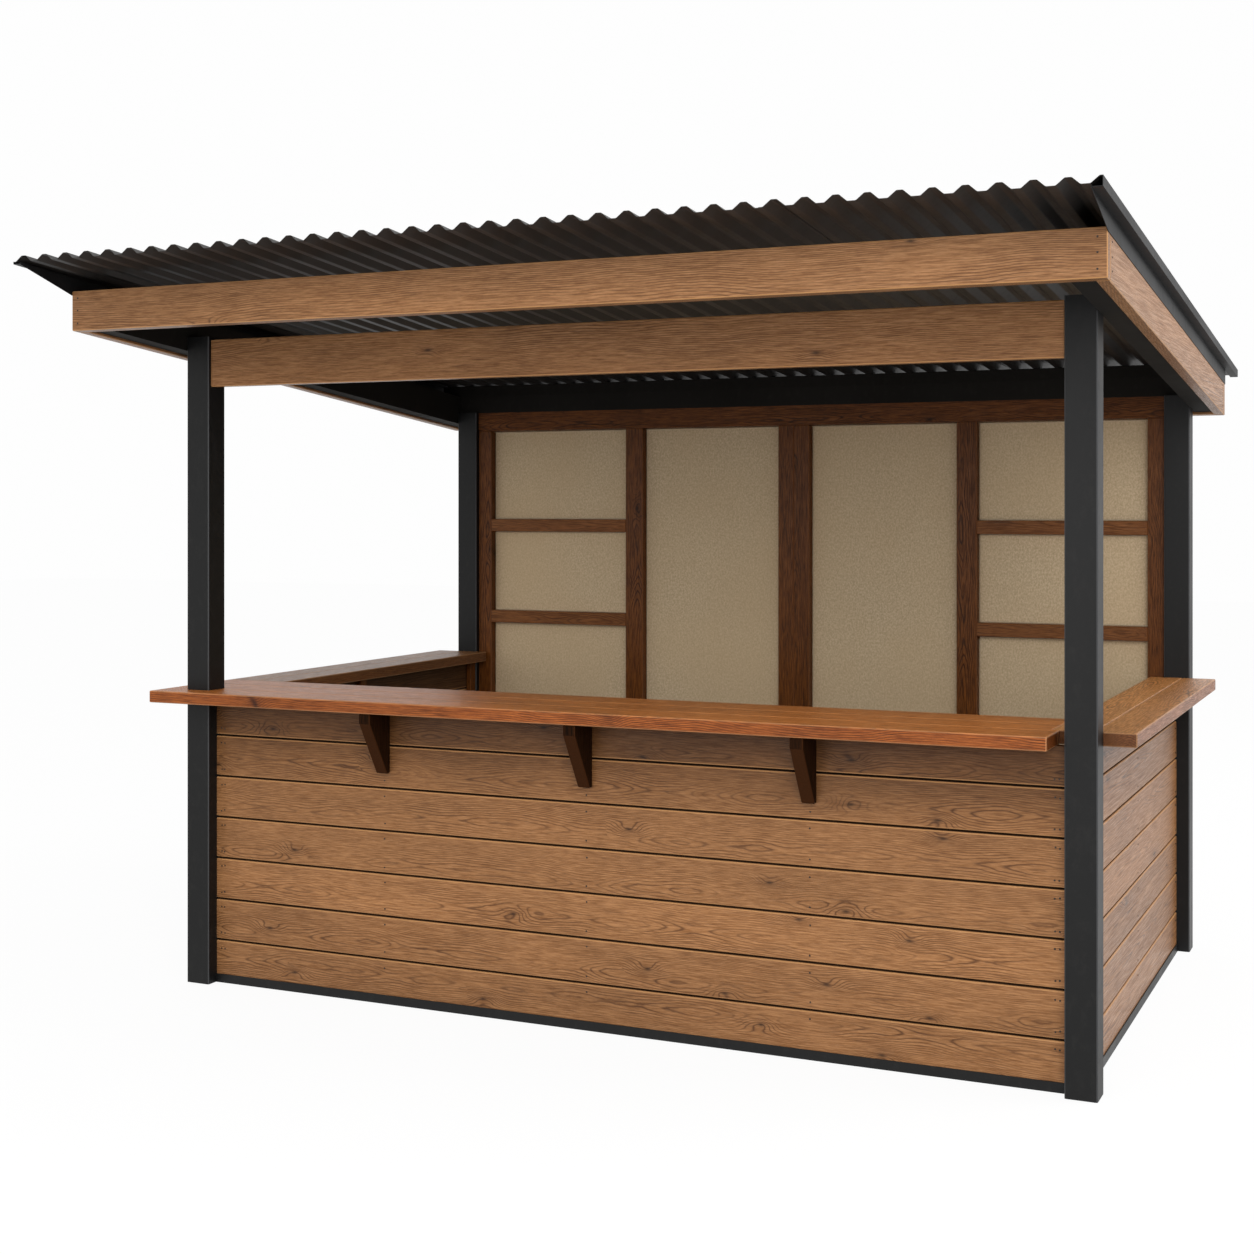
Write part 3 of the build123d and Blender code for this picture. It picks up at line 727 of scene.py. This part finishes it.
def lining_panels():
    """One eased panel in each bay, split by the shelf rails."""
    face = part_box("back_lining")[0].y
    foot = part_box("back_ground_channel")[1].z + PANEL_FOOT
    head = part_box("back_top_plate")[0].z
    studs = [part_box(f"back_stud_{place}") for place in
             ("left_end", "left", "centre_left", "centre_right", "right", "right_end")]
    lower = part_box("left_lower_shelf_rail")
    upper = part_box("left_upper_shelf_rail")
    split = [(foot, lower[0].z), (lower[1].z, upper[0].z), (upper[1].z, head)]
    bays = [(studs[0][1].x, studs[1][0].x, split), (studs[1][1].x, studs[2][0].x, [(foot, head)]),
            (studs[3][1].x, studs[4][0].x, [(foot, head)]), (studs[4][1].x, studs[5][0].x, split)]
    shape = bmesh.new()
    for x_0, x_1, levels in bays:
        for z_0, z_1 in levels:
            size = (x_1 - x_0 - 2 * PANEL_CLEARANCE, PANEL_THICKNESS, z_1 - z_0 - 2 * PANEL_CLEARANCE)
            made = bmesh.ops.create_cube(shape, size=1.0)["verts"]
            bmesh.ops.scale(shape, verts=made, vec=size)
            bmesh.ops.translate(shape, verts=made,
                                vec=((x_0 + x_1) / 2, face - PANEL_THICKNESS / 2, (z_0 + z_1) / 2))
            edges = list({e for v in made for e in v.link_edges})
            bmesh.ops.bevel(shape, geom=edges, offset=PANEL_EASE, segments=1, affect="EDGES")
    return shaped("lining_panels", shape, panel_finish, "lining_board")


lining_panels()


# Nails of the boards and fascias

def heads(name, points, facing, seed, flange, cap, slot="black_steel", finish=None):
    """Heads on a list of points; flange and cap are given as radius, height and, for the cap, its sides."""
    start = bpy.data.meshes.new(name)
    start.from_pydata(points, [], [])
    piece = grown(name, start, head_tree, {
        "Flange Radius": flange[0], "Flange Height": flange[1], "Cap Radius": cap[0], "Cap Height": cap[1],
        "Cap Sides": cap[2], "Facing": facing, "Seed": seed, "Finish": finish or nail_finish})
    return settled(piece, slot)


NAIL_FLANGE = (0.0032, 0.0011)
NAIL_CAP = (0.0021, 0.0006, 8)
END_NAILS = (0.023, 0.037)
NAIL_ROW_SHARES = (0.16, 0.8)
LOWEST_NAIL = 0.045
NAIL_BELOW_TOP = 0.012
NAIL_FROM_BRACKET = 0.04
NAIL_BITE = 0.0002
NAIL_STRAYS = (0.0015, 0.003)
FASCIA_BITE = 0.0001


def board_levels(top):
    """Heights of the two nail rows in each board below a level."""
    count = math.ceil((top - BOARD_FOOT) / BOARD_PITCH)
    levels = [BOARD_FOOT + (i + share) * BOARD_PITCH for i in range(count) for share in NAIL_ROW_SHARES]
    return [z for z in levels if LOWEST_NAIL < z < top - NAIL_BELOW_TOP]


def wall_nails(name, start, end, between, top, to_point, facing, seed, kept=None):
    """Pairs of nails at both ends of every board and single ones over the studs."""
    chance = random.Random(seed)
    columns = [start + e for e in END_NAILS] + list(between) + [end - e for e in END_NAILS]
    points = []
    for column in columns:
        for level in board_levels(top):
            if kept is None or kept(column, level):
                along, up = [chance.uniform(-stray, stray) for stray in NAIL_STRAYS]
                points.append(to_point(column + along, level + up))
    heads(name, points, facing, seed, NAIL_FLANGE, NAIL_CAP)


brackets = [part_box(f"{place}_bracket") for place in ("left", "centre", "right")]
bracket_lines = [(low.x + high.x) / 2 for low, high in brackets]
bracket_foot = brackets[0][0].z - NAIL_BELOW_TOP


def clear_of_brackets(column, level):
    """Nails hidden behind a bracket are left out."""
    return level < bracket_foot or all(abs(column - line) > NAIL_FROM_BRACKET for line in bracket_lines)


nail_sink = UNEVEN - NAIL_BITE
wall_nails("front_board_nails", front_low.x, front_high.x, bracket_lines, front_high.z,
           lambda along, level: (along, front_low.y + nail_sink, level), (0.0, -1.0, 0.0), 41,
           clear_of_brackets)
side_middle = (right_low.y + right_high.y) / 2
wall_nails("right_board_nails", right_low.y, right_high.y, [side_middle], right_high.z,
           lambda along, level: (right_high.x - nail_sink, along, level), (1.0, 0.0, 0.0), 42)
wall_nails("left_board_nails", left_low.y, left_high.y, [side_middle], left_high.z,
           lambda along, level: (left_low.x + nail_sink, along, level), (-1.0, 0.0, 0.0), 43)
back_lines = [sum(c.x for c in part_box(f"back_stud_{place}")) / 2 for place in
              ("left", "centre_left", "centre_right", "right")]
wall_nails("back_board_nails", back_low.x, back_high.x, back_lines, back_high.z,
           lambda along, level: (along, back_high.y - nail_sink, level), (0.0, 1.0, 0.0), 44)

ROOF_FALL = math.radians(5.25)
FASCIA_NAIL_SHARES = (0.2, 0.52, 0.82)
SIDE_FASCIA_NAIL_SHARES = (0.22, 0.5, 0.8)
FASCIA_END_NAILS = (0.026, 0.028)
SIDE_FASCIA_END_NAIL = 0.03
SIDE_FASCIA_HEIGHT = 0.14
fascia_low, fascia_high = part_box("front_fascia")
fascia_tall = fascia_high.z - fascia_low.z
heads("front_fascia_nails",
      [(x, fascia_low.y + FASCIA_BITE, fascia_low.z + share * fascia_tall)
       for x in (fascia_low.x + FASCIA_END_NAILS[0], fascia_high.x - FASCIA_END_NAILS[1])
       for share in FASCIA_NAIL_SHARES],
      (0.0, -1.0, 0.0), 51, NAIL_FLANGE, NAIL_CAP)
rear_low, rear_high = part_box("back_fascia")
heads("back_fascia_nails",
      [(x, rear_high.y - FASCIA_BITE, rear_low.z + share * (rear_high.z - rear_low.z))
       for x in (rear_low.x + FASCIA_END_NAILS[0], rear_high.x - FASCIA_END_NAILS[0])
       for share in FASCIA_NAIL_SHARES],
      (0.0, 1.0, 0.0), 52, NAIL_FLANGE, NAIL_CAP)
for side, facing, seed in (("left", -1.0, 53), ("right", 1.0, 54)):
    low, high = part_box(f"{side}_fascia")
    face = (low.x if facing < 0 else high.x) - facing * FASCIA_BITE
    rows = []
    for y in (low.y + SIDE_FASCIA_END_NAIL, high.y - SIDE_FASCIA_END_NAIL):
        base = low.z + (high.y - y) * math.tan(ROOF_FALL)
        rows += [(face, y, base + share * SIDE_FASCIA_HEIGHT) for share in SIDE_FASCIA_NAIL_SHARES]
    heads(f"{side}_fascia_nails", rows, (facing, 0.0, 0.0), seed, NAIL_FLANGE, NAIL_CAP)


# Trims of the verge flashings

SHEETS = 4
sheet_boxes = [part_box(f"roof_sheet_{i + 1}") for i in range(SHEETS)]
LIP_THICKNESS = 0.0015
LIP_BELOW_HEAD = 0.0065
LIP_CLEARANCE = 0.0003
TIP_HEIGHT = 0.008
TIP_BACK = 0.002
EDGE_BACK = 0.0002
TRIM_EASE = 0.0005
NEAR = 0.0001


def world_corners(node):
    """Corners of one of the frame's own pieces."""
    return [nodes[node].matrix_world @ v.co for v in nodes[node].data.vertices]


def pulled(shape, corners, reach):
    """A closed bar: a section of given corners, pulled straight along a reach."""
    section = shape.faces.new([shape.verts.new(c) for c in corners])
    bar = bmesh.ops.extrude_face_region(shape, geom=[section])["geom"]
    far_end = [part for part in bar if isinstance(part, bmesh.types.BMVert)]
    bmesh.ops.translate(shape, verts=far_end, vec=reach)


def verge_trim(side, sheet, way):
    """Trim of the verge flashing: a tapered plate from the fascia's corner out to the sheets' front edge,
    and a folded lip from the flashing out to the sheets' outer edge and up under it."""
    fall = math.tan(ROOF_FALL)
    flashing = world_corners(f"{side}_verge_flashing")
    start = min(c.y for c in flashing)
    front_end = [c for c in flashing if c.y < start + NEAR]
    inner = min(way * c.x for c in front_end)
    face = max(way * c.x for c in front_end)
    foot = min(c.z for c in front_end)
    head = max(c.z for c in front_end)
    tip = sheet_boxes[0][0].y + TIP_BACK
    tip_head = head + (start - tip) * fall
    shape = bmesh.new()
    plate = ((start, foot), (start, head), (tip, tip_head), (tip, tip_head - TIP_HEIGHT))
    pulled(shape, [(way * inner, y, z) for y, z in plate], (way * (face - inner), 0, 0))
    bmesh.ops.recalc_face_normals(shape, faces=shape.faces[:])
    bmesh.ops.bevel(shape, geom=shape.edges[:], offset=TRIM_EASE, segments=1, affect="EDGES")
    sheet_corners = world_corners(sheet)
    edge = max(way * c.x for c in sheet_corners)
    under = min(c.z + (c.y - tip) * fall for c in sheet_corners if way * c.x > edge - NEAR) - LIP_CLEARANCE
    shelf = tip_head - LIP_BELOW_HEAD
    outer = edge - EDGE_BACK
    fold = ((face, shelf), (outer, shelf), (outer, under), (outer - LIP_THICKNESS, under),
            (outer - LIP_THICKNESS, shelf + LIP_THICKNESS), (face, shelf + LIP_THICKNESS))
    run = sheet_boxes[0][1].y - TIP_BACK - tip
    pulled(shape, [(way * x, tip, z) for x, z in fold], (0, run, -run * fall))
    bmesh.ops.recalc_face_normals(shape, faces=shape.faces[:])
    return shaped(f"{side}_verge_trim", shape, flashing_finish, "roof_steel")


verge_trim("left", "roof_sheet_1", -1.0)
verge_trim("right", "roof_sheet_4", 1.0)


# Roof screws on the crests over the purlins

RIBS_PER_SHEET = 10
HALF_RIB = 0.5
SCREW_BITE = 0.0004
SCREW_FLANGE = (0.0085, 0.0018)
SCREW_CAP = (0.0052, 0.005, 6)
screws = []
roof_left = sheet_boxes[0][0].x
roof_right = sheet_boxes[-1][1].x
rib = (roof_right - roof_left) / (SHEETS * RIBS_PER_SHEET + HALF_RIB)
for row in ("front", "back"):
    low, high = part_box(f"{row}_purlin")
    y = (low.y + high.y) / 2
    for i in range(SHEETS * RIBS_PER_SHEET):
        sheet_low, sheet_high = sheet_boxes[i // RIBS_PER_SHEET]
        crest = sheet_high.z - (y - sheet_low.y) * math.tan(ROOF_FALL)
        screws.append((roof_left + (i + HALF_RIB) * rib, y, crest - SCREW_BITE))
heads("roof_screws", screws, (0.0, math.sin(ROOF_FALL), math.cos(ROOF_FALL)), 61, SCREW_FLANGE, SCREW_CAP,
      "roof_steel", screw_finish)


# Finishes of the frame's own pieces

FRAME_FROM_HEART = 0.03


def dress(node, tones, turn, seed, off_heart=0.0, **more):
    """A board of the frame gets its own stretch of timber, centred on the piece or sawn off the heart."""
    low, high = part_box(node)
    centre = Euler(turn).to_matrix() @ ((low + high) / 2)
    chance = random.Random(seed)
    spans = (GRAIN_SPAN, GRAIN_SPAN, FRAME_FROM_HEART)
    along, through, up = [chance.uniform(-span, span) for span in spans]
    shift = (along, through, off_heart + up - centre.z)
    finish = timber(f"{node}_finish", tones, turn, shift, **more)
    nodes[node].material_slots[0].material = finish


# Fascias and header carry a painted highlight on their eased edges.
fascia_figure = {"ring": 0.0115, "wander": 0.07, "edge": pale_arris_highlight}
fascias = (("front", LONG_X, 1.0), ("back", LONG_X, 1.0), ("left", LONG_Y, 0.4), ("right", LONG_Y, 0.4))
for seed, (side, turn, stretch) in enumerate(fascias):
    dress(f"{side}_fascia", fascia_brown, turn, 70 + seed, off_heart=0.1, knots=0.15, stretch=stretch,
          **fascia_figure)
dress("front_header", light_brown, LONG_X, 76, off_heart=-0.1, knots=0.2, **fascia_figure)
# Studs and rails carry a painted highlight on their eased edges.
for seed, place in enumerate(("left_end", "left", "centre_left", "centre_right", "right", "right_end")):
    dress(f"back_stud_{place}", dark_brown, LONG_Z, 80 + seed, knots=0.12, gloss=0.12, edge=dim_arris_highlight)
dress("back_top_plate", dark_brown, LONG_X, 90, knots=0.12, gloss=0.12)
for seed, place in enumerate(("left_lower", "left_upper", "right_lower", "right_upper")):
    dress(f"{place}_shelf_rail", rail_brown, LONG_X, 91 + seed, knots=0.12, gloss=0.14, edge=dim_arris_highlight)
# Brackets: dark painted shade under the counter and a painted highlight on their edges.
for seed, place in enumerate(("left", "centre", "right")):
    dress(f"{place}_bracket", shaded_bracket_brown, LONG_Z, 96 + seed, knots=0.0, sheen=(0.6, 0.75), gloss=0.04,
          edge=paint(64, 36, 17))
for seed, side in enumerate(("front", "left", "right")):
    dress(f"{side}_wall_studs", dark_brown, LONG_Z, 100 + seed, knots=0.1, gloss=0.12)
for node, piece in nodes.items():
    if node.startswith("roof_sheet"):
        piece.material_slots[0].material = roof_finish
    elif node.endswith("flashing"):
        piece.material_slots[0].material = flashing_finish
    elif node.endswith(("rafter", "beam", "purlin")):
        piece.material_slots[0].material = frame_finish
    elif node.endswith(("post", "channel")):
        piece.material_slots[0].material = post_finish
nodes["back_lining"].material_slots[0].material = lining_finish


# Camera, light and floor

camera = bpy.data.objects.new("camera", bpy.data.cameras.new("camera"))
scene.collection.objects.link(camera)
camera.location = (2.6706, -6.3753, 1.7819)
camera.rotation_euler = (math.pi / 2, 0.0, math.radians(24.55))
camera.data.sensor_width = 36.0
camera.data.lens = 52.33
camera.data.shift_y = -0.0948
camera.data.clip_end = 200.0
scene.camera = camera


def lamp(name, place, aim, size, power):
    """Square soft light."""
    light = bpy.data.lights.new(name, "AREA")
    light.size = size
    light.energy = power
    holder = bpy.data.objects.new(name, light)
    scene.collection.objects.link(holder)
    holder.location = place
    holder.rotation_euler = (Vector(aim) - Vector(place)).to_track_quat("-Z", "Y").to_euler()


lamp("front_softbox", (4.5, -8.0, 4.6), (0.0, 0.0, 1.2), size=4.0, power=280.0)
lamp("top_softbox", (1.0, -6.0, 6.4), (0.0, -0.4, 0.9), size=3.5, power=100.0)
lamp("low_fill", (-1.5, -9.0, 1.9), (0.0, 1.0, 1.5), size=2.4, power=75.0)
lamp("right_softbox", (7.5, 2.2, 5.5), (0.8, 0.2, 1.2), size=4.0, power=260.0)

WHITE = (1.0, 1.0, 1.0, 1.0)
FLOOR_GREY = (0.55, 0.55, 0.55, 1.0)
BACKDROP_LIGHT = 0.99
ROOM_LIGHT = 0.77
FLOOR_GLOW = 0.92
FLOOR_REACH = 30.0
FLOOR_DROP = 0.0005


def seen_rays(tree):
    """1 for the rays that show the backdrop: straight, mirrored or through glass."""
    rays = put(tree, "ShaderNodeLightPath").outputs
    other = maths(tree, "MAXIMUM", rays["Is Glossy Ray"], rays["Is Transmission Ray"])
    return maths(tree, "MAXIMUM", rays["Is Camera Ray"], other)


world = bpy.data.worlds.new("studio")
scene.world = world
world.use_nodes = True
sky = world.node_tree
sky.nodes.clear()
white = put(sky, "ShaderNodeBackground", {"Color": WHITE, "Strength": BACKDROP_LIGHT}).outputs[0]
soft = put(sky, "ShaderNodeBackground", {"Color": WHITE, "Strength": ROOM_LIGHT}).outputs[0]
shown = put(sky, "ShaderNodeMixShader", {0: seen_rays(sky), 1: soft, 2: white}).outputs[0]
put(sky, "ShaderNodeOutputWorld", {"Surface": shown})

floor_mesh = bpy.data.meshes.new("floor")
corners = strip(-FLOOR_REACH, FLOOR_REACH, -FLOOR_REACH, FLOOR_REACH)
floor_mesh.from_pydata([(x, y, 0.0) for x, y in corners], [], [(0, 1, 2, 3)])
floor = bpy.data.objects.new("floor", floor_mesh)
scene.collection.objects.link(floor)
floor.location.z = -FLOOR_DROP
floor_finish = bpy.data.materials.new("floor_finish")
floor_finish.use_nodes = True
ground = floor_finish.node_tree
ground.nodes.clear()
seen = seen_rays(ground)
matt = put(ground, "ShaderNodeBsdfDiffuse", {"Color": blend(ground, seen, FLOOR_GREY, WHITE)}).outputs[0]
glow = put(ground, "ShaderNodeEmission", {"Color": WHITE, "Strength": 1.0}).outputs[0]
glow_share = maths(ground, "MULTIPLY", seen, FLOOR_GLOW)
shown = put(ground, "ShaderNodeMixShader", {0: glow_share, 1: matt, 2: glow}).outputs[0]
put(ground, "ShaderNodeOutputMaterial", {"Surface": shown})
floor_mesh.materials.append(floor_finish)

scene.view_settings.view_transform = "Standard"
